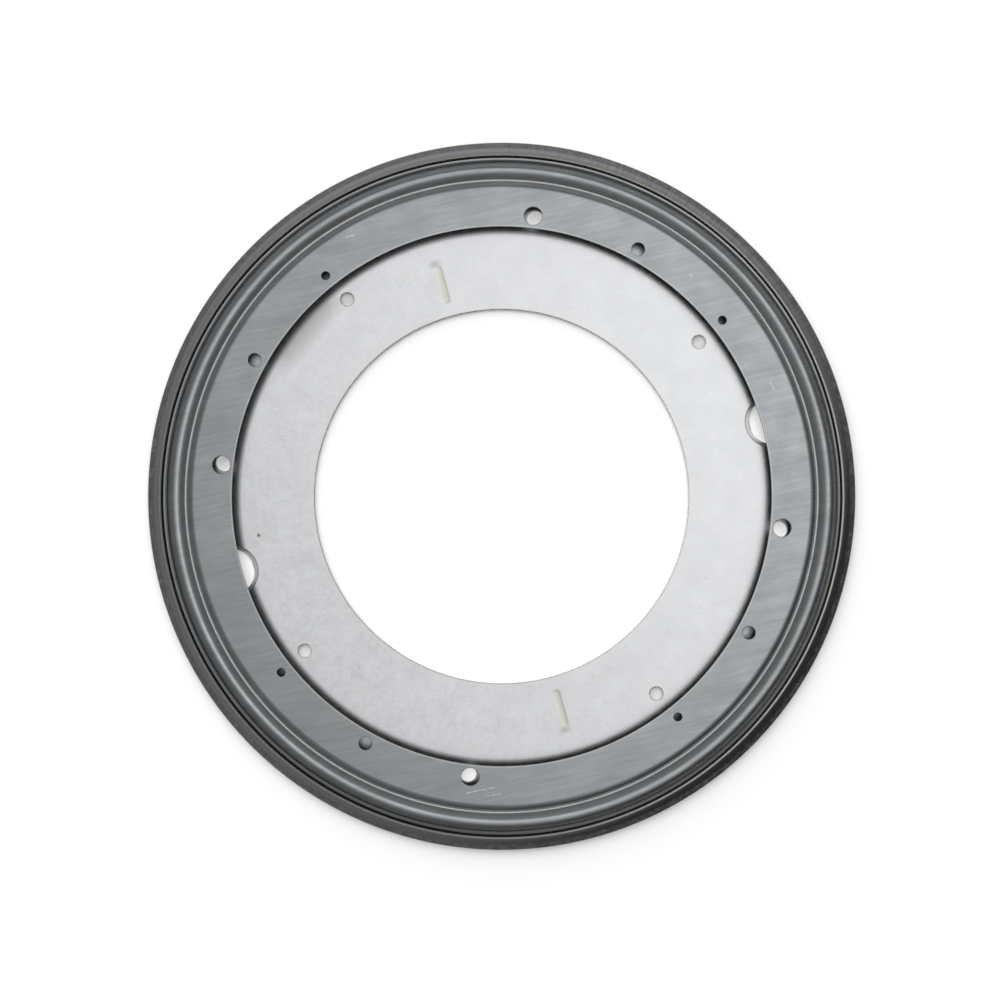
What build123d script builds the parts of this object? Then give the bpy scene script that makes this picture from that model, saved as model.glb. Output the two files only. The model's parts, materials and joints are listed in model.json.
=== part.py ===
# Lazy susan bearing: two pressed steel rings that turn on a circle of captive balls.
# Millimetres, +Z up. The origin is the centre of the mounting face of the bottom plate.

import os
from math import cos, radians, sin, tan

from build123d import *

# Overall size
outer_dia = 304.8
sheet = 1.0

# Balls, on a circle set in from the outer edge
race_inset = 12.7
ball_dia = 4.76
ball_count = 8
ball_sides = 8
race_clearance = 0.25

# Bead that both stampings form round the balls, and the step up to their mounting flats
race_wrap = 48.0
bead_width = 8.3
bead_slope = 32.0
bead_sink = 0.34
step_width = 2.5

# Rim of the bottom plate, folded in over the flange of the top ring
rim_slope = 34.6
rim_drop = 0.54
rim_clearance = 0.4

# Top ring: screw circle set in from the balls, and the width of metal inside it
ring_circle_inset = 19.05
ring_edge = 5.25
small_hole_dia = 3.6
medium_hole_dia = 5.6
large_hole_dia = 7.7
ring_turn = 0.5

# Bottom plate: centre hole, and screw circle set in from that of the ring
plate_hole_dia = 161.9
plate_circle_inset = 12.4
plate_screw_dia = 5.9
pass_hole_dia = 7.0
access_hole_dia = 19.05

# Radial grooves pressed into the upper face of the plate, set out from its centre hole
groove_inset = 5.55
groove_length = 17.0
groove_width = 3.4
groove_depth = 0.3

# Every hole stands on one angular grid, repeated in each quarter or half turn
quarters = 4
halves = 2
grid = 22.5

# Section shared by both stampings, worked out from the ball outward
outer_radius = outer_dia / 2
race_radius = outer_radius - race_inset
ball_radius = ball_dia / 2
bead_radius = ball_radius + race_clearance + sheet
ball_level = bead_radius + bead_sink
height = 2 * ball_level
wrap_reach = bead_radius * sin(radians(race_wrap / 2))
wrap_level = ball_level + bead_radius * cos(radians(race_wrap / 2))
bead_reach = bead_width / 2
shoulder_level = wrap_level - (bead_reach - wrap_reach) * tan(radians(bead_slope))

# The rim leans in from the shoulder of the plate, and the flange of the ring ends under it
rim_lean = radians(rim_slope)
rim_rise = shoulder_level - sheet - rim_drop
rim_mouth_radius = outer_radius - rim_rise / tan(rim_lean)
flange_rise = 2 * shoulder_level - sheet - height
flange_radius = outer_radius - flange_rise / tan(rim_lean) - (sheet + rim_clearance) / sin(rim_lean)

# Circles that carry the holes
ring_circle_radius = race_radius - ring_circle_inset
ring_inner_radius = ring_circle_radius - ring_edge
plate_circle_radius = ring_circle_radius - plate_circle_inset
groove_middle_radius = plate_hole_dia / 2 + groove_inset + groove_length / 2


def stamping_outline(inner_radius, edge_radius):
    """Section of a stamping, face up: mounting flat, step down, bead round the balls, shoulder."""
    wrap_start = (race_radius - wrap_reach, wrap_level)
    wrap_end = (race_radius + wrap_reach, wrap_level)
    Polyline(
        (inner_radius, height),
        (race_radius - bead_reach - step_width, height),
        (race_radius - bead_reach, shoulder_level),
        wrap_start,
    )
    ThreePointArc(wrap_start, (race_radius, ball_level + bead_radius), wrap_end)
    Polyline(wrap_end, (race_radius + bead_reach, shoulder_level), (edge_radius, shoulder_level))
    offset(amount=sheet, kind=Kind.INTERSECTION, side=Side.RIGHT)


# Bottom plate: the section is drawn on a plane turned face down, so its flat lies on Z = 0
face_down = Plane(origin=(0, 0, height), x_dir=(1, 0, 0), z_dir=(0, 1, 0))

with BuildPart() as bottom_plate:
    with BuildSketch(face_down):
        with BuildLine():
            stamping_outline(plate_hole_dia / 2, outer_radius)
        make_face()
        with BuildLine():
            Line((outer_radius, shoulder_level - sheet), (rim_mouth_radius, rim_drop))
            offset(amount=sheet, kind=Kind.INTERSECTION, side=Side.RIGHT)
        make_face()
    revolve(axis=Axis.Z)
    # Access holes, screw holes, and holes that let a driver through the large holes of the ring
    with PolarLocations(ring_circle_radius, halves):
        Hole(access_hole_dia / 2)
    with PolarLocations(plate_circle_radius, quarters, start_angle=grid):
        Hole(plate_screw_dia / 2)
    with PolarLocations(ring_circle_radius, quarters, start_angle=3 * grid):
        Hole(pass_hole_dia / 2)
    # Grooves
    with BuildSketch(Plane.XY.offset(sheet)):
        with PolarLocations(groove_middle_radius, halves, start_angle=4 * grid):
            SlotOverall(groove_length, groove_width)
    extrude(amount=-groove_depth, mode=Mode.SUBTRACT)
bottom_plate.part.label = "bottom_plate"

# Top ring: three sizes of screw hole, then a blank place, in each quarter
with BuildPart() as top_ring:
    with BuildSketch(Plane.XZ):
        with BuildLine():
            stamping_outline(ring_inner_radius, flange_radius)
        make_face()
    revolve(axis=Axis.Z)
    for place, hole_dia in enumerate((small_hole_dia, medium_hole_dia, large_hole_dia), start=1):
        with PolarLocations(ring_circle_radius, quarters, start_angle=ring_turn + place * grid):
            Hole(hole_dia / 2)
top_ring.part.label = "top_ring"

# Balls: each is a few-sided solid inside the true sphere, with a flat at either pole
ball_step = 360 / ball_sides

with BuildPart() as ball:
    for latitude in (-1.5 * ball_step, -0.5 * ball_step, 0.5 * ball_step, 1.5 * ball_step):
        with BuildSketch(Plane.XY.offset(ball_radius * sin(radians(latitude)))):
            RegularPolygon(ball_radius * cos(radians(latitude)), ball_sides)
    loft(ruled=True)

with BuildPart() as balls:
    with Locations((0, 0, ball_level)):
        with PolarLocations(race_radius, ball_count):
            add(ball.part)
balls.part.label = "balls"

os.makedirs("parts", exist_ok=True)
for piece in (bottom_plate, top_ring, balls):
    export_step(piece.part, "parts/" + piece.part.label + ".step")
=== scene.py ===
# Looks of the lazy susan bearing: two pressed rings with rounded bends, their finishes, and a studio.

import json
from functools import reduce
from math import ceil, cos, pi, radians, sin, tan

import bmesh
import bpy
from mathutils import Matrix, Vector
from mathutils.geometry import intersect_point_line


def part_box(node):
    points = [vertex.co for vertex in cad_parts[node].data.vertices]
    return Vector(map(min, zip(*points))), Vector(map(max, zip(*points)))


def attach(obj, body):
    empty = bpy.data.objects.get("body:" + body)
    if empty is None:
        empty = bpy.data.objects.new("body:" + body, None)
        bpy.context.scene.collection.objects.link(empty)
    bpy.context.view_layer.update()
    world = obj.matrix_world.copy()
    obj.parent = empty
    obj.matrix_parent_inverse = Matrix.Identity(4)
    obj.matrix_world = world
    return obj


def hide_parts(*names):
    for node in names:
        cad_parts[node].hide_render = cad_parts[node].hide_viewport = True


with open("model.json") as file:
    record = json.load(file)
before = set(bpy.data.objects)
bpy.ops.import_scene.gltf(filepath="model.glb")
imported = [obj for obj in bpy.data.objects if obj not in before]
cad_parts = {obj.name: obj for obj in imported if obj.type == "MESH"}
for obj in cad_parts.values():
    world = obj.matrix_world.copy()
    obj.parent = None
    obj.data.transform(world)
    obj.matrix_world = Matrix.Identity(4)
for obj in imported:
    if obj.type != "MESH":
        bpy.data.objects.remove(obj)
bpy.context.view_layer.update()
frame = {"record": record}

# Sizes in millimetres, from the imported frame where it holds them
MM = 0.001
mounts = {mount["name"]: mount["dims"] for mount in frame["record"]["mounts"]}
outer_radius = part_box("bottom_plate")[1].x / MM
flange_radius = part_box("top_ring")[1].x / MM
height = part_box("top_ring")[1].z / MM
rim_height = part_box("bottom_plate")[1].z / MM
ring_circle_radius = mounts["ring_large_holes"]["pcd_mm"] / 2
plate_circle_radius = mounts["plate_screw_holes"]["pcd_mm"] / 2

# Section of the stampings, as in the solids
sheet = 1.0
race_inset = 12.7
ball_radius = 2.38
bead_reach = 4.15
bead_slope = radians(32.0)
bead_sink = 0.34
rim_slope = radians(34.6)
ring_edge = 5.25
plate_hole_radius = 80.95
race_radius = outer_radius - race_inset
ring_inner_radius = ring_circle_radius - ring_edge

# Bends of the sheet, which the solids leave sharp, and the steep step, crease and land beside them
step_width = 1.6
crest_radius = 3.39
crest_shift = 0.25
flank_reach = 2.2
flank_slope = radians(29.0)
flank_radius = 4.0
ring_step_radius = 4.3
plate_step_radius = 1.5
valley_land = 0.4
valley_radius = 0.3
foot_radius = 0.1
crease_width = 0.5
crease_depth = 0.2
land_width = 0.8
land_drop = 0.05
flange_run = 0.7
flange_drop = 0.85
flange_bend_radius = 0.1
lower_fold_radius = 0.3
upper_fold_radius = 0.7
rim_crown = 0.15
rim_crown_radius = 12.0

# Rounding of the corners of a cut edge, and of the upper corner round the centre hole
edge_corner = 0.1
centre_corner = 0.22

# Holes, the width and depth of the roll round each, and of the seats round the access holes
small_hole = mounts["ring_small_holes"]["hole_r_mm"]
medium_hole = mounts["ring_medium_holes"]["hole_r_mm"]
large_hole = mounts["ring_large_holes"]["hole_r_mm"]
screw_hole = mounts["plate_screw_holes"]["hole_r_mm"]
pass_hole = 3.5
access_hole = 9.525
ring_roll = (0.22, 0.2)
plate_roll = (0.25, 0.25)
access_seat = (1.7, 0.07)
seat_wall = 0.15
grid = radians(22.5)
ring_turn = radians(0.5)
quarters = 4
halves = 2

# Grooves pressed into the upper face of the plate, with soft walls
groove_inset = 5.55
groove_half_length = 8.5
groove_half_width = 1.8
groove_depth = 0.12
groove_wall = 1.2
groove_middle_radius = plate_hole_radius + groove_inset + groove_half_length

# Balls that show in the visual model: the solids' own, and those between them
ball_count = 40
ball_level = height / 2
ball_fineness = 3

# Fineness of the meshes
turn_steps = 360
hole_steps = 48
bend_step = radians(4)
tight_bend = 1.0
tight_bend_step = radians(12)
roll_steps = 5
edge_steps = 3
wall_steps = 4
guard = 0.03
fold_share = 0.97
crisp_angle = radians(28)

# Material places on the two pressed pieces
COATED, CUT, INNER = 0, 1, 2


def rounded(corners):
    """Points of an outline whose corners (r, z, radius) are rounded; its ends stay sharp."""
    points = [Vector(corners[0][:2])]
    for before, corner, after in zip(corners, corners[1:], corners[2:]):
        here, radius = Vector(corner[:2]), corner[2]
        back = (Vector(before[:2]) - here).normalized()
        ahead = (Vector(after[:2]) - here).normalized()
        turn = pi - back.angle(ahead)
        centre = here + (back + ahead).normalized() * radius / cos(turn / 2)
        first = here + back * radius * tan(turn / 2) - centre
        side = 1 if back.x * ahead.y - back.y * ahead.x < 0 else -1
        steps = max(2, ceil(turn / (bend_step if radius > tight_bend else tight_bend_step)))
        bend = []
        for step in range(steps + 1):
            bend.append(centre + Matrix.Rotation(side * turn * step / steps, 2) @ first)
        points += [bend[0] + back * guard, *bend, bend[-1] + ahead * guard]
    points.append(Vector(corners[-1][:2]))
    return points


def to_right(run):
    return Vector((run.y, -run.x)).normalized()


def gap_to(points, place):
    """Shortest distance from a place to an outline."""
    gaps = []
    for start, end in zip(points, points[1:]):
        _, part = intersect_point_line(place, start, end)
        gaps.append((start.lerp(end, min(max(part, 0), 1)) - place).length)
    return min(gaps)


def beside(points, distance):
    """The same outline, moved to its right, without the folds that tight bends would leave."""
    last = len(points) - 1
    moved = []
    for index, point in enumerate(points):
        run = points[min(index + 1, last)] - points[max(index - 1, 0)]
        place = point + to_right(run) * distance
        if index in (0, last) or gap_to(points, place) > fold_share * distance:
            moved.append(place)
    return moved


def kinds(points, kind):
    """Pairs of a point and the material of the strip that starts there."""
    return [(point, kind) for point in points]


def sheared(end, along, out, near=edge_corner, far=edge_corner):
    """Outline of a cut edge at the sheet's end, from the side that faces out to the other."""
    leans = [pi / 2 * step / edge_steps for step in range(edge_steps + 1)]
    other = end - out * sheet
    near_bend = [end + (along * (sin(lean) - 1) + out * (cos(lean) - 1)) * near for lean in leans]
    far_bend = [other + (along * (cos(lean) - 1) + out * (1 - sin(lean))) * far for lean in leans]
    return kinds(near_bend[:-1], COATED) + kinds([near_bend[-1], *far_bend], CUT)


def circle(mesh, radius, level, centre=(0, 0), steps=turn_steps):
    """A closed loop of vertices at one level."""
    loop = []
    for step in range(steps):
        turn = 2 * pi * step / steps
        place = (centre[0] + radius * cos(turn), centre[1] + radius * sin(turn), level)
        loop.append(mesh.verts.new(Vector(place) * MM))
    return loop


def bridge(mesh, one, other, kind):
    """Quads between two loops."""
    for index in range(len(one)):
        after = (index + 1) % len(one)
        mesh.faces.new((one[index], one[after], other[after], other[index])).material_index = kind


def lathe(mesh, outline, centre=(0, 0), steps=turn_steps):
    """Turns an outline of points and materials round an upright axis, and gives its end loops."""
    loops = [circle(mesh, point.x, point.y, centre, steps) for point, kind in outline]
    for index, (point, kind) in enumerate(outline[:-1]):
        bridge(mesh, loops[index], loops[index + 1], kind)
    return loops[0], loops[-1]


def fill(mesh, loops, kind):
    """Fills the flat between an outer loop and the loops inside it, with a crisp border."""
    edges = []
    for loop in loops:
        for index, vert in enumerate(loop):
            after = loop[(index + 1) % len(loop)]
            edge = mesh.edges.get((vert, after))
            edge.smooth = False
            edges.append(edge)
    made = bmesh.ops.triangle_fill(mesh, edges=edges, use_beauty=True)
    for face in made["geom"]:
        if isinstance(face, bmesh.types.BMFace):
            face.material_index = kind


def polar(radius, turn):
    return radius * cos(turn), radius * sin(turn)


def punched(mesh, radius, centre, upper, lower, roll, seat=None):
    """Wall of a punched hole with a rolled upper rim, in a seat or none, and its loops on both faces."""
    width, depth = roll
    outline = []
    if seat:
        outline.append(Vector((radius + seat[0], upper)))
        upper -= seat[1]
        outline.append(Vector((radius + seat[0] - seat_wall, upper)))
    for step in range(roll_steps + 1):
        lean = pi / 2 * step / roll_steps
        outline.append(Vector((radius + width * (1 - sin(lean)), upper - depth * (1 - cos(lean)))))
    outline = kinds(outline[:-1], COATED) + kinds([outline[-1], Vector((radius, lower))], CUT)
    return lathe(mesh, outline, centre, hole_steps)


def slot_loop(mesh, inset, turn, level):
    """A loop of vertices round a radial groove with round ends, inset from its border."""
    half_width = groove_half_width - inset
    half_straight = groove_half_length - groove_half_width
    loop = []
    for step in range(hole_steps):
        angle = 2 * pi * (step + 0.5) / hole_steps
        end = half_straight if cos(angle) > 0 else -half_straight
        place = Vector((groove_middle_radius + end + half_width * cos(angle), half_width * sin(angle)))
        place = Matrix.Rotation(turn, 2) @ place
        loop.append(mesh.verts.new(Vector((place.x, place.y, level)) * MM))
    return loop


def grooved(mesh, turn, level):
    """A shallow groove with soft walls, and its loop on the upper face."""
    loops = []
    for step in range(wall_steps + 1):
        part = step / wall_steps
        sink = groove_depth * (1 - cos(pi * part)) / 2
        loops.append(slot_loop(mesh, groove_wall * part, turn, level - sink))
    for one, other in zip(loops, loops[1:]):
        bridge(mesh, one, other, INNER)
    mesh.faces.new(loops[-1]).material_index = INNER
    return loops[0]


def finished(mesh, name, body, node):
    """Turns a bmesh into a piece that rides on a body and stands for a CAD node."""
    bmesh.ops.recalc_face_normals(mesh, faces=mesh.faces[:])
    for face in mesh.faces:
        face.smooth = True
    for edge in mesh.edges:
        if edge.calc_face_angle(0) > crisp_angle:
            edge.smooth = False
    data = bpy.data.meshes.new(name)
    mesh.to_mesh(data)
    mesh.free()
    piece = bpy.data.objects.new(name, data)
    bpy.context.scene.collection.objects.link(piece)
    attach(piece, body)
    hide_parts(node)
    return piece


# Levels of a stamping that lies with its mounting side up
crest_level = height - bead_sink
apex_level = crest_level + crest_radius * (1 / cos(bead_slope) - 1)
apex_radius = race_radius + crest_shift
shoulder_level = apex_level - bead_reach * tan(bead_slope)
valley_middle = race_radius - bead_reach
flat_end = valley_middle - step_width
foot = race_radius + bead_reach
land_start = foot + crease_width
land_level = shoulder_level + crease_depth
UP, INWARD = Vector((0, 1)), Vector((-1, 0))


def mounting_side(inner_radius, step_radius, outer_corners):
    """Outline of a stamping's mounting side, from its inner edge outward."""
    return rounded([
        (inner_radius, height, 0),
        (flat_end, height, step_radius),
        (valley_middle - valley_land / 2, shoulder_level, valley_radius),
        (valley_middle + valley_land / 2, shoulder_level, valley_radius),
        (apex_radius - flank_reach, apex_level - flank_reach * tan(flank_slope), flank_radius),
        (apex_radius, apex_level, crest_radius),
        (foot, shoulder_level, foot_radius),
        *outer_corners,
    ])


def make_top_ring():
    mesh = bmesh.new()
    upper = mounting_side(ring_inner_radius, ring_step_radius, [
        (land_start, land_level, foot_radius),
        (land_start + land_width, land_level - land_drop, flange_bend_radius),
        (land_start + land_width + flange_run, land_level - flange_drop, flange_bend_radius),
        (flange_radius, land_level - flange_drop - land_drop, 0),
    ])
    lower = beside(upper, sheet)
    along = (upper[-1] - upper[-2]).normalized()
    rim = sheared(upper[-1], along, -to_right(along))
    top, bottom = lathe(mesh, kinds(upper[1:-1], COATED) + rim + kinds(lower[-2:0:-1], INNER))
    inner_top, inner_bottom = lathe(mesh, sheared(upper[0], INWARD, UP))
    tops, bottoms = [top, inner_top], [bottom, inner_bottom]
    for place, radius in enumerate((small_hole, medium_hole, large_hole), start=1):
        for quarter in range(quarters):
            turn = ring_turn + place * grid + quarter * pi / 2
            centre = polar(ring_circle_radius, turn)
            one, other = punched(mesh, radius, centre, height, height - sheet, ring_roll)
            tops.append(one)
            bottoms.append(other)
    fill(mesh, tops, COATED)
    fill(mesh, bottoms, INNER)
    return finished(mesh, "top_ring_pressed", "turntable", "top_ring")


def face_down(outline):
    """A section that was drawn with its mounting side up, turned over."""
    return [(Vector((point.x, height - point.y)), kind) for point, kind in outline]


def make_bottom_plate():
    mesh = bmesh.new()
    rim_foot = shoulder_level - sheet
    rim_top = height - rim_height
    mouth_radius = outer_radius - (rim_foot - rim_top) / tan(rim_slope)
    outer = mounting_side(plate_hole_radius, plate_step_radius, [
        (outer_radius, shoulder_level, lower_fold_radius),
        (outer_radius, rim_foot, upper_fold_radius),
        ((outer_radius + mouth_radius) / 2, (rim_foot + rim_top) / 2 - rim_crown, rim_crown_radius),
        (mouth_radius, rim_top, 0),
    ])
    shoulder_end = (outer_radius, shoulder_level, 0)
    inner = beside(mounting_side(plate_hole_radius, plate_step_radius, [shoulder_end]), sheet)
    inner[-1] = Vector((outer_radius - sheet / sin(rim_slope), rim_foot))
    along = (outer[-1] - outer[-2]).normalized()
    mouth = sheared(outer[-1], along, -to_right(along))
    body = kinds(outer[1:-1], COATED) + mouth + kinds(inner[:0:-1], INNER)
    bottom, top = lathe(mesh, face_down(body))
    hole_bottom, hole_top = lathe(mesh, face_down(sheared(outer[0], INWARD, UP, far=centre_corner)))
    tops, bottoms = [top, hole_top], [bottom, hole_bottom]
    holes = [(access_hole, ring_circle_radius, half * pi, access_seat) for half in range(halves)]
    for quarter in range(quarters):
        holes.append((screw_hole, plate_circle_radius, grid + quarter * pi / 2, None))
        holes.append((pass_hole, ring_circle_radius, 3 * grid + quarter * pi / 2, None))
    for radius, circle_radius, turn, seat in holes:
        one, other = punched(mesh, radius, polar(circle_radius, turn), sheet, 0, plate_roll, seat)
        tops.append(one)
        bottoms.append(other)
    for half in range(halves):
        tops.append(grooved(mesh, pi / 2 + half * pi, sheet))
    fill(mesh, bottoms, COATED)
    fill(mesh, tops, INNER)
    return finished(mesh, "bottom_plate_pressed", "base", "bottom_plate")


def make_balls():
    mesh = bmesh.new()
    for index in range(ball_count):
        x, y = polar(race_radius, 2 * pi * index / ball_count)
        place = Matrix.Translation(Vector((x, y, ball_level)) * MM)
        bmesh.ops.create_icosphere(mesh, subdivisions=ball_fineness, radius=ball_radius * MM, matrix=place)
    return finished(mesh, "ball_row", "ball_set", "balls")


# Shader helpers
def metal(name, metallic=1.0):
    """A new material, metal unless metallic says otherwise, its node tree and its shader."""
    material = bpy.data.materials.new(name)
    material.use_nodes = True
    shader = material.node_tree.nodes["Principled BSDF"]
    shader.inputs["Metallic"].default_value = metallic
    return material, material.node_tree, shader


def opaque(colour, tone=1.0):
    """A colour with its alpha, scaled in brightness by tone."""
    return tuple(tone * value for value in colour) + (1,)


def plug(tree, value, socket):
    """Sets a socket to a value, or links it to another socket."""
    if isinstance(value, bpy.types.NodeSocket):
        tree.links.new(value, socket)
    else:
        socket.default_value = value


def math(tree, operation, one, other=0.0):
    node = tree.nodes.new("ShaderNodeMath")
    node.operation = operation
    plug(tree, one, node.inputs[0])
    plug(tree, other, node.inputs[1])
    return node.outputs[0]


def times(tree, *values):
    return reduce(lambda one, other: math(tree, "MULTIPLY", one, other), values)


def total(tree, *values):
    return reduce(lambda one, other: math(tree, "ADD", one, other), values)


def largest(tree, *values):
    return reduce(lambda one, other: math(tree, "MAXIMUM", one, other), values)


def vector_math(tree, operation, one, other):
    node = tree.nodes.new("ShaderNodeVectorMath")
    node.operation = operation
    plug(tree, one, node.inputs[0])
    plug(tree, other, node.inputs[1])
    return node.outputs["Value" if operation == "LENGTH" else "Vector"]


def noise(tree, vector, scale, detail=3.0, roughness=0.5):
    node = tree.nodes.new("ShaderNodeTexNoise")
    plug(tree, vector, node.inputs["Vector"])
    for key, value in (("Scale", scale), ("Detail", detail), ("Roughness", roughness)):
        node.inputs[key].default_value = value
    return node.outputs["Fac"]


def spread(tree, value, low, high, to_low=0.0, to_high=1.0):
    """Maps low..high to to_low..to_high, held at both ends."""
    node = tree.nodes.new("ShaderNodeMapRange")
    plug(tree, value, node.inputs["Value"])
    for key, number in (("From Min", low), ("From Max", high), ("To Min", to_low), ("To Max", to_high)):
        node.inputs[key].default_value = number
    return node.outputs["Result"]


def mix(tree, factor, one, other, blend="MIX"):
    node = tree.nodes.new("ShaderNodeMix")
    node.data_type = "RGBA"
    node.blend_type = blend
    for index, value in ((0, factor), (6, one), (7, other)):
        plug(tree, value, node.inputs[index])
    return node.outputs[2]


def bump(tree, shader, height_value, strength, distance):
    node = tree.nodes.new("ShaderNodeBump")
    node.inputs["Strength"].default_value = strength
    node.inputs["Distance"].default_value = distance * MM
    plug(tree, height_value, node.inputs["Height"])
    plug(tree, node.outputs["Normal"], shader.inputs["Normal"])


def place_mm(tree, turn=0.0, scale=(1, 1, 1), shift=(0, 0, 0), mirrored=False):
    """Object coordinates in millimetres, shifted, turned about the axis, then stretched.

    Where mirrored, each coordinate loses its sign first, so that a mark repeats in every quarter."""
    coordinates = tree.nodes.new("ShaderNodeTexCoord").outputs["Object"]
    place = vector_math(tree, "MULTIPLY", coordinates, (1 / MM,) * 3)
    if mirrored:
        place = vector_math(tree, "ABSOLUTE", place, (0, 0, 0))
    place = vector_math(tree, "SUBTRACT", place, shift)
    node = tree.nodes.new("ShaderNodeMapping")
    plug(tree, place, node.inputs["Vector"])
    node.inputs["Rotation"].default_value = (0, 0, -turn)
    return vector_math(tree, "MULTIPLY", node.outputs["Vector"], scale)


def parts(tree, vector):
    node = tree.nodes.new("ShaderNodeSeparateXYZ")
    plug(tree, vector, node.inputs["Vector"])
    return node.outputs


def toward(tree, turn):
    """Distance in millimetres from the axis along one direction."""
    return parts(tree, place_mm(tree, turn))[0]


def from_axis(tree, shift=(0, 0, 0), mirrored=False):
    """Distance in millimetres from an upright axis, the part's own unless it is shifted."""
    flat = vector_math(tree, "MULTIPLY", place_mm(tree, shift=shift, mirrored=mirrored), (1, 1, 0))
    return vector_math(tree, "LENGTH", flat, (0, 0, 0))


def band(tree, value, middle, half_width, fade):
    """One within half_width of middle, and zero from fade beyond that."""
    off = math(tree, "ABSOLUTE", math(tree, "SUBTRACT", value, middle))
    return spread(tree, off, half_width, half_width + fade, 1.0, 0.0)


def patch(tree, radius, turn, lean, half_length, half_width, fade):
    """A small straight mark at a place on a face, its length along lean."""
    x, y = polar(radius, turn)
    along, across, _ = parts(tree, place_mm(tree, lean, shift=(x, y, 0)))
    return times(tree, band(tree, along, 0.0, half_length, fade), band(tree, across, 0.0, half_width, fade))


# Directions in the picture lie this far round from the part's own axes
picture_turn = radians(-15.6)

# Colours of the ring
zinc_low = (0.296, 0.312, 0.323)
zinc_high = (0.416, 0.436, 0.450)
zinc_cloud = (0.2, 0.2, 0.2)
cool_tint = (0.985, 1.0, 1.015)
warm_tint = (1.012, 1.003, 0.98)
# A pale zinc for wear in the valley and for painted highlights on the ring's inner edge and bead flank
sheen_and_wear_zinc = (0.80, 0.785, 0.745)
scratched_zinc = (0.75, 0.75, 0.74)
# Painted shade in the crease beside the flange and on the land under the lip
crease_shade_colour = (0.06, 0.06, 0.06)
cut_zinc = (0.42, 0.41, 0.38)
# Tone of the ring's underside: a darker copy of the zinc, painted shade for the gap under the ring
underside_shade_tone = 0.15

# Colours of the plate
sheet_low = (0.715, 0.72, 0.732)
sheet_high = (0.92, 0.927, 0.942)
speck_colour = (0.2, 0.19, 0.18)
dark_patch_colour = (0.4, 0.4, 0.4)
tan_colour = (0.70, 0.68, 0.57)
# Painted dark reflection beyond the outer ends of the grooves
dark_reflection_colour = (0.3, 0.3, 0.3)
# Painted shade on the plate under the ring
under_ring_shade_colour = (0.085, 0.09, 0.105)
rim_low = (0.33, 0.33, 0.332)
rim_high = (0.49, 0.487, 0.483)
cut_steel = (0.47, 0.44, 0.385)
cut_steel_metallic = 0.2
# How far a painted highlight pales the cut steel on one side and painted shade darkens it on the other
cut_steel_side_light = 0.7
tanned_tone = 0.8

# Colours of the balls
ball_low = (0.7, 0.7, 0.7)
ball_high = (0.8, 0.8, 0.8)

# Parts of the range of a noise that are spread over a whole change of colour or roughness
wide_range = (0.3, 0.7)
narrow_range = (0.35, 0.65)
break_range = (0.4, 0.6)
speck_range = (0.23, 0.19)

# Brush marks of the ring: their direction, and the stretch and the share of the fine and the broad ones
brush_lean = radians(13) + picture_turn
fine_brush = (0.05, 0.9, 0.2)
broad_brush = (0.03, 0.14, 0.1)
fine_share = 0.6
broad_share = 0.4

# The patches of tint on the ring are moved aside, so that they differ from its clouds
tint_shift = (400, 0, 0)

# Shares of what mottles the plate
cloud_share = 0.22
spangle_share = 0.62
grain_share = 0.16

# How far each mark covers what lies under it
cloud_cover = 0.13
# The edge and flank bands are painted highlights; the crease band is painted shade
edge_sheen = 0.35
flank_sheen = 0.15
crease_shade_cover = 0.75
scratch_cover = (0.1, 0.8)
speck_cover = 0.5
dark_patch_cover = 0.75
tan_cover = 0.6
# The mark beyond the grooves is a painted dark reflection
dark_reflection_cover = 0.45

# Roughness, what the worn bands and painted highlights add to it and what polish takes from it
zinc_rough = (0.23, 0.31)
sheen_and_wear_rough = 0.2
sheet_rough = (0.32, 0.42)
rim_polish = 0.26
cut_rough = (0.6, 0.7)
ball_rough = (0.08, 0.18)

# The side of the part where the cut edges are paler from a painted highlight, and where the rim is hatched
lit_and_hatched_turn = radians(55) + picture_turn

# The side where painted shade spreads from the crease over the land, where the lip shades it, and the run
# over which it deepens
land_shade_turn = radians(-80)
land_shade_run = (-60.0, 110.0)

# Scratches on the ring: distance from the axis, direction, lean in the picture, half length
scratches = (
    (125.9, 250.3, 12, 6.5),
    (127.6, 253.0, 8, 3.0),
    (124.2, 33.7, -60, 1.0),
    (124.9, 6.5, -60, 1.8),
    (128.6, 104.5, 15, 2.0),
)
scratch_half_width = 0.1
scratch_fade = 0.25

# Marks on the plate: distance from the axis, direction, lean, half length, half width, fade
speck = (106.4, radians(173.5), 0.0, 0.3, 0.3, 0.7)
# A darker patch on the plate beside the ring's inner edge
dark_patch = (113.0, radians(124.0), radians(34.0), 14.0, 0.5, 9.0)

# Painted shade on the plate, for the shade of the gap under the ring: off centre under the ring's inner
# edge, dark in the race, lighter between
under_ring_shade_shift = (*polar(0.8, radians(-30)), 0)
under_ring_shade_middle = ring_inner_radius + 1.3
under_ring_shade_half_width = 1.4
under_ring_shade_fade = 2.2
under_ring_shade_start = (ring_inner_radius, ring_inner_radius + 1.5)
race_start = (ring_circle_radius + 2.4, ring_circle_radius + 3.6)
thin_under_ring_shade = 0.42
under_ring_shade_cover = 0.85

# Painted shade on the plate under the ring's small holes, and the border of the access seats inside which
# no shade is painted
under_hole_shade_radius = ring_circle_radius + 1.4
under_hole_shade_reach = (2.0, 3.5)
seat_radius = access_hole + access_seat[0]
seat_border = 0.3

# Burnished rim of the plate: the levels and the radii between which it begins, and its hatching
rim_levels = (1.8, 2.8)
rim_radii = (143.5, 144.5)
hatch_start = (0.8 * outer_radius, 0.98 * outer_radius)
hatch_least = 0.2
hatch_range = 0.16


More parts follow.
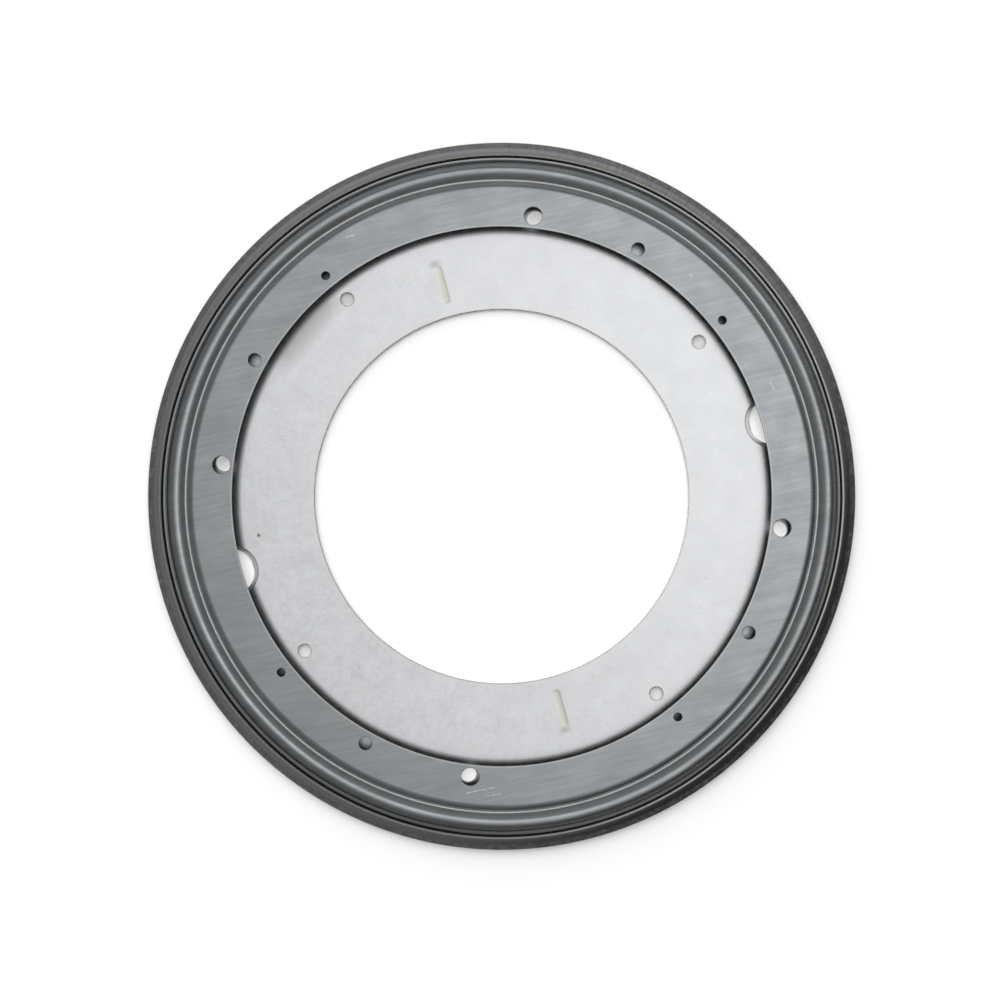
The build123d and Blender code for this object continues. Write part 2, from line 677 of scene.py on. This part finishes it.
def zinc_material(name, tone):
    """Brushed zinc plating; tone scales its brightness."""
    material, tree, shader = metal(name)
    fine = noise(tree, place_mm(tree, brush_lean, fine_brush), scale=1.0, detail=4.0, roughness=0.6)
    broad = noise(tree, place_mm(tree, brush_lean, broad_brush), scale=1.0)
    clouds = noise(tree, place_mm(tree), scale=0.08, detail=4.0, roughness=0.55)
    streaks = total(tree, times(tree, fine, fine_share), times(tree, broad, broad_share))
    colour = mix(tree, spread(tree, streaks, *wide_range), opaque(zinc_low, tone), opaque(zinc_high, tone))
    colour = mix(tree, spread(tree, clouds, *wide_range, 0.0, cloud_cover), colour, opaque(zinc_cloud))
    patches = noise(tree, place_mm(tree, shift=tint_shift), scale=0.07, roughness=0.6)
    tint = mix(tree, spread(tree, patches, *narrow_range), opaque(cool_tint), opaque(warm_tint))
    colour = mix(tree, 1.0, colour, tint, "MULTIPLY")
    # Wear in the valley beside the bead, and painted highlights along the inner edge and on the bead's
    # inner flank
    radius = from_axis(tree)
    valley = band(tree, radius, valley_middle, half_width=valley_land / 2 + 0.1, fade=0.2)
    edge = band(tree, radius, ring_inner_radius + 0.2, half_width=0.3, fade=0.25)
    flank = band(tree, radius, apex_radius - 1.7, half_width=0.5, fade=0.7)
    sheen_and_wear = largest(tree, valley, times(tree, edge, edge_sheen), times(tree, flank, flank_sheen))
    colour = mix(tree, sheen_and_wear, colour, opaque(sheen_and_wear_zinc, tone))
    # Painted shade in the crease beside the flange, spread over the flange's land on one side
    crease = band(tree, radius, foot + crease_width / 2, half_width=crease_width / 2, fade=0.15)
    land_shade = spread(tree, toward(tree, land_shade_turn), *land_shade_run)
    land = band(tree, radius, land_start + land_width / 2, half_width=land_width / 2 + 0.1, fade=0.1)
    crease_shade = largest(tree, crease, times(tree, land, land_shade))
    colour = mix(tree, times(tree, crease_shade, crease_shade_cover), colour, opaque(crease_shade_colour))
    # Scratches, broken along their length
    marks = []
    for distance, turn, lean, half_length in scratches:
        place = (distance, radians(turn), radians(lean) + picture_turn)
        marks.append(patch(tree, *place, half_length, scratch_half_width, scratch_fade))
    breaks = spread(tree, noise(tree, place_mm(tree), scale=0.9), *break_range, *scratch_cover)
    colour = mix(tree, times(tree, total(tree, *marks), breaks), colour, opaque(scratched_zinc, tone))
    plug(tree, colour, shader.inputs["Base Color"])
    rough = total(tree, spread(tree, clouds, *wide_range, *zinc_rough), times(tree, sheen_and_wear, sheen_and_wear_rough))
    plug(tree, rough, shader.inputs["Roughness"])
    bump(tree, shader, streaks, strength=0.05, distance=0.1)
    return material


def soiled_and_shaded(tree, colour):
    """Marks of the plate's upper face: a speck, a darker patch, tanned grooves with a painted dark
    reflection beyond their ends, and painted shade under the ring.
    """
    colour = mix(tree, patch(tree, *speck), colour, opaque(speck_colour))
    colour = mix(tree, times(tree, patch(tree, *dark_patch), dark_patch_cover), colour, opaque(dark_patch_colour))
    # The grooves are tanned, with a painted dark reflection beyond their outer ends
    x, y, _ = parts(tree, place_mm(tree))
    from_middle = math(tree, "SUBTRACT", math(tree, "ABSOLUTE", y), groove_middle_radius)
    across = band(tree, x, 0.0, half_width=groove_half_width - 0.7, fade=1.0)
    along = band(tree, from_middle, 0.0, half_width=groove_half_length - 0.5, fade=0.8)
    colour = mix(tree, times(tree, across, along, tan_cover), colour, opaque(tan_colour))
    reflection_across = band(tree, x, -0.8, half_width=0.5, fade=3.0)
    reflection_along = band(tree, from_middle, groove_half_length + 1.0, half_width=0.4, fade=1.8)
    dark_reflection = times(tree, reflection_across, reflection_along, dark_reflection_cover)
    colour = mix(tree, dark_reflection, colour, opaque(dark_reflection_colour))
    # Painted shade under the ring, with none round the access holes
    radius = from_axis(tree)
    edge = band(tree, from_axis(tree, under_ring_shade_shift), under_ring_shade_middle, under_ring_shade_half_width, under_ring_shade_fade)
    race = spread(tree, radius, *race_start, thin_under_ring_shade, 1.0)
    under = spread(tree, radius, *under_ring_shade_start)
    under_ring_shade = largest(tree, edge, times(tree, race, under))
    # Painted shade where the plate shows through the ring's small holes
    for turn in (ring_turn + grid, pi / 2 - ring_turn - grid):
        from_hole_shade = from_axis(tree, (*polar(under_hole_shade_radius, turn), 0), mirrored=True)
        under_ring_shade = largest(tree, under_ring_shade, spread(tree, from_hole_shade, *under_hole_shade_reach, 1.0, 0.0))
    from_access = from_axis(tree, (ring_circle_radius, 0, 0), mirrored=True)
    covered = spread(tree, from_access, seat_radius - seat_border, seat_radius, 0.0, under_ring_shade_cover)
    return mix(tree, times(tree, under_ring_shade, covered), colour, opaque(under_ring_shade_colour))


def galvanised_material(name, upper):
    """Galvanised sheet with a burnished and hatched rim; its upper face has marks of dirt and tan, and
    painted shade.
    """
    material, tree, shader = metal(name)
    clouds = noise(tree, place_mm(tree), scale=0.09, detail=4.0, roughness=0.6)
    spangle = noise(tree, place_mm(tree), scale=0.35, roughness=0.6)
    grain = noise(tree, place_mm(tree), scale=1.4, roughness=0.6)
    mottle = total(
        tree,
        times(tree, clouds, cloud_share),
        times(tree, spangle, spangle_share),
        times(tree, grain, grain_share),
    )
    colour = mix(tree, spread(tree, mottle, *narrow_range), opaque(sheet_low), opaque(sheet_high))
    spots = noise(tree, place_mm(tree), scale=0.8, detail=1.0)
    specks = spread(tree, spots, *speck_range, 0.0, speck_cover)
    colour = mix(tree, specks, colour, opaque(speck_colour))
    if upper:
        colour = soiled_and_shaded(tree, colour)
    # The closing tool has burnished the rim, and hatched it on one side
    radius, level = from_axis(tree), parts(tree, place_mm(tree))[2]
    rim = times(tree, spread(tree, level, *rim_levels), spread(tree, radius, *rim_radii))
    flat = vector_math(tree, "MULTIPLY", place_mm(tree), (1, 1, 0))
    around = vector_math(tree, "NORMALIZE", flat, (0, 0, 0))
    strokes = math(tree, "SUBTRACT", noise(tree, around, scale=130.0, roughness=0.7), 0.5)
    hatched = spread(tree, toward(tree, lit_and_hatched_turn), *hatch_start, hatch_least, 1.0)
    hatch = spread(tree, times(tree, strokes, hatched), -hatch_range, hatch_range)
    rim_colour = mix(tree, hatch, opaque(rim_low), opaque(rim_high))
    plug(tree, mix(tree, rim, colour, rim_colour), shader.inputs["Base Color"])
    rough = spread(tree, spangle, *wide_range, *sheet_rough)
    rough = math(tree, "SUBTRACT", rough, times(tree, rim, rim_polish))
    plug(tree, rough, shader.inputs["Roughness"])
    off_rim = math(tree, "SUBTRACT", 1.0, rim)
    bump(tree, shader, times(tree, grain, off_rim), strength=0.06, distance=0.25)
    return material


def cut_material(name, colour, metallic=1.0, tone_swing=0.0):
    """Bare sheared steel, faintly tanned. Given a share, a painted highlight makes it paler on one side and
    painted shade makes it darker on the other.
    """
    material, tree, shader = metal(name, metallic)
    tone = spread(tree, noise(tree, place_mm(tree), scale=0.6), *wide_range)
    tanned = mix(tree, tone, opaque(colour, tanned_tone), opaque(colour))
    # Painted light: paler towards one side, darker towards the other
    sheen_and_wear = spread(tree, toward(tree, lit_and_hatched_turn), -outer_radius, outer_radius, 1.0 - tone_swing, 1.0 + tone_swing)
    plug(tree, mix(tree, 1.0, tanned, sheen_and_wear, "MULTIPLY"), shader.inputs["Base Color"])
    plug(tree, spread(tree, tone, 0.0, 1.0, *cut_rough), shader.inputs["Roughness"])
    return material


def ball_material():
    material, tree, shader = metal("ball_steel")
    tone_swing = noise(tree, place_mm(tree), scale=0.9)
    plug(tree, mix(tree, tone_swing, opaque(ball_low), opaque(ball_high)), shader.inputs["Base Color"])
    plug(tree, spread(tree, tone_swing, *wide_range, *ball_rough), shader.inputs["Roughness"])
    return material


# Floor: a little below the part, with a painted glow under the ring's holes and painted shade under the
# plate's screw holes
floor_drop = 0.9
floor_radius = 20000.0
floor_sides = 64
floor_low = (0.91, 0.91, 0.91)
floor_high = (0.93, 0.93, 0.93)
floor_black = (0, 0, 0)
floor_shade = 0.25
shade_half_width = screw_hole + 0.4
shade_fade = 0.2
floor_glow = 0.26
glow_middle = ring_circle_radius - 1.5
glow_half_width = 6.9
glow_fade = 0.6

# Lamp
lamp_tilt = radians(38)
lamp_direction = radians(110)
lamp_spread = radians(80)
lamp_strength = 2.63

# Camera, straight above the part
camera_height = 620.0
camera_focal_px = 1432.4
picture_px = 1000
axis_px = (501.7, 496.4)
sensor_width = 36.0

# Overhead light: its level, how it changes along the picture's right and up, and how far out it changes
overhead_level = 1.06
overhead_right = 1.45
overhead_up = 0.95
overhead_up_squared = -1.0
right_reach = 0.22
up_reach = 0.25

# Surroundings: their level, and how it changes along the picture's right and up
around_level = 0.255
around_least = 0.05
around_right = -0.10
around_up = 0.19
around_right_squared = -0.08
around_up_squared = 0.08
around_diagonal = 0.12

# Heights in the sky, as the sine of the angle above the horizon, where one light passes into another
overhead_rise = (0.76, 0.97)
horizon_rise = (0.0, 0.22)
uneven_rise = (0.0, 0.25)
uneven_end = (0.25, 0.62)
uneven_gain = (0.5, 1.25)
horizon_level = 0.55

# Colours of the light from the surroundings and from overhead
around_colour = (0.98, 1.0, 1.03)
overhead_colour = (1, 1, 1)


def in_picture(right, up):
    """A place on the floor given along the picture's right and up directions."""
    return Matrix.Rotation(picture_turn, 2) @ Vector((right, up))


def make_camera():
    data = bpy.data.cameras.new("camera")
    data.sensor_width = sensor_width
    data.lens = sensor_width * camera_focal_px / picture_px
    camera = bpy.data.objects.new("camera", data)
    mm_per_px = camera_height / camera_focal_px
    under = in_picture((picture_px / 2 - axis_px[0]) * mm_per_px, (axis_px[1] - picture_px / 2) * mm_per_px)
    camera.location = Vector((under.x, under.y, camera_height)) * MM
    camera.rotation_euler = (0, 0, picture_turn)
    bpy.context.scene.collection.objects.link(camera)
    bpy.context.scene.camera = camera


def floor_material():
    """White paper with a faint grain, with painted shade under the plate's screw holes and a painted glow
    under the ring's holes.
    """
    material, tree, shader = metal("white_floor", 0.0)
    grain = noise(tree, place_mm(tree), scale=0.5)
    colour = mix(tree, grain, opaque(floor_low), opaque(floor_high))
    radius = from_axis(tree)
    # Painted shade on the floor under the plate's screw holes
    shade = band(tree, radius, plate_circle_radius, shade_half_width, shade_fade)
    colour = mix(tree, times(tree, shade, floor_shade), colour, opaque(floor_black))
    plug(tree, colour, shader.inputs["Base Color"])
    rays = tree.nodes.new("ShaderNodeLightPath").outputs
    seen = largest(tree, rays["Is Camera Ray"], rays["Is Glossy Ray"], rays["Is Transmission Ray"])
    # Painted glow on the floor under the ring's holes
    painted_glow = band(tree, radius, glow_middle, glow_half_width, glow_fade)
    plug(tree, times(tree, painted_glow, floor_glow, seen), shader.inputs["Emission Strength"])
    shader.inputs["Roughness"].default_value = 1.0
    shader.inputs["Specular IOR Level"].default_value = 0.0
    return material


def make_floor():
    mesh = bmesh.new()
    bmesh.ops.create_circle(mesh, cap_ends=True, radius=floor_radius * MM, segments=floor_sides)
    data = bpy.data.meshes.new("floor")
    mesh.to_mesh(data)
    mesh.free()
    data.materials.append(floor_material())
    floor = bpy.data.objects.new("floor", data)
    floor.location.z = -floor_drop * MM
    bpy.context.scene.collection.objects.link(floor)


def make_lamp():
    """A wide soft lamp overhead, towards the picture's top: it gives the floor its shadow."""
    data = bpy.data.lights.new("lamp", "SUN")
    data.angle = lamp_spread
    data.energy = lamp_strength
    lamp = bpy.data.objects.new("lamp", data)
    side = in_picture(cos(lamp_direction), sin(lamp_direction)) * tan(lamp_tilt)
    lamp.rotation_euler = Vector((side.x, side.y, 1)).to_track_quat("Z", "Y").to_euler()
    lamp.visible_glossy = False
    bpy.context.scene.collection.objects.link(lamp)


def make_world():
    """Overhead light that brightens to the picture's right, over dim surroundings."""
    world = bpy.data.worlds.new("studio")
    world.use_nodes = True
    bpy.context.scene.world = world
    tree = world.node_tree
    turned = tree.nodes.new("ShaderNodeMapping")
    plug(tree, tree.nodes.new("ShaderNodeTexCoord").outputs["Generated"], turned.inputs["Vector"])
    turned.inputs["Rotation"].default_value = (0, 0, -picture_turn)
    right, up, high = parts(tree, turned.outputs["Vector"])
    # The overhead light changes across its middle only
    middle_right = spread(tree, right, -right_reach, right_reach, -right_reach, right_reach)
    middle_up = spread(tree, up, -up_reach, up_reach, -up_reach, up_reach)
    overhead = total(
        tree,
        times(tree, middle_right, overhead_right),
        times(tree, middle_up, overhead_up),
        times(tree, middle_up, middle_up, overhead_up_squared),
        overhead_level,
    )
    # The surroundings are brighter beyond the picture's top, dim to its lower right, and even high up
    uneven = total(
        tree,
        times(tree, up, around_up),
        times(tree, right, around_right),
        times(tree, up, up, around_up_squared),
        times(tree, right, right, around_right_squared),
        times(tree, up, right, around_diagonal),
    )
    rising = spread(tree, high, *uneven_rise, *uneven_gain)
    ending = spread(tree, high, *uneven_end, 1.0, 0.0)
    around = largest(tree, total(tree, times(tree, uneven, rising, ending), around_level), around_least)
    around = times(tree, around, spread(tree, high, *horizon_rise, horizon_level, 1.0))
    rise = spread(tree, high, *overhead_rise)
    level = total(tree, times(tree, overhead, rise), times(tree, around, math(tree, "SUBTRACT", 1.0, rise)))
    background = tree.nodes["Background"]
    plug(tree, mix(tree, rise, opaque(around_colour), opaque(overhead_colour)), background.inputs["Color"])
    plug(tree, level, background.inputs["Strength"])


make_camera()
make_floor()
make_lamp()
make_world()

finishes = {
    make_top_ring(): (
        zinc_material("brushed_zinc", 1.0),
        cut_material("cut_zinc", cut_zinc),
        # The ring's underside: a darker copy of the zinc, painted shade
        zinc_material("shaded_underside_zinc", underside_shade_tone),
    ),
    make_bottom_plate(): (
        galvanised_material("galvanised_steel", False),
        cut_material("cut_steel", cut_steel, cut_steel_metallic, cut_steel_side_light),
        # The plate's upper face: marks of dirt and tan, and painted shade under the ring
        galvanised_material("soiled_and_shaded_steel", True),
    ),
    make_balls(): (ball_material(),),
}
for piece, materials in finishes.items():
    for material in materials:
        piece.data.materials.append(material)

bpy.context.scene.view_settings.view_transform = "Standard"
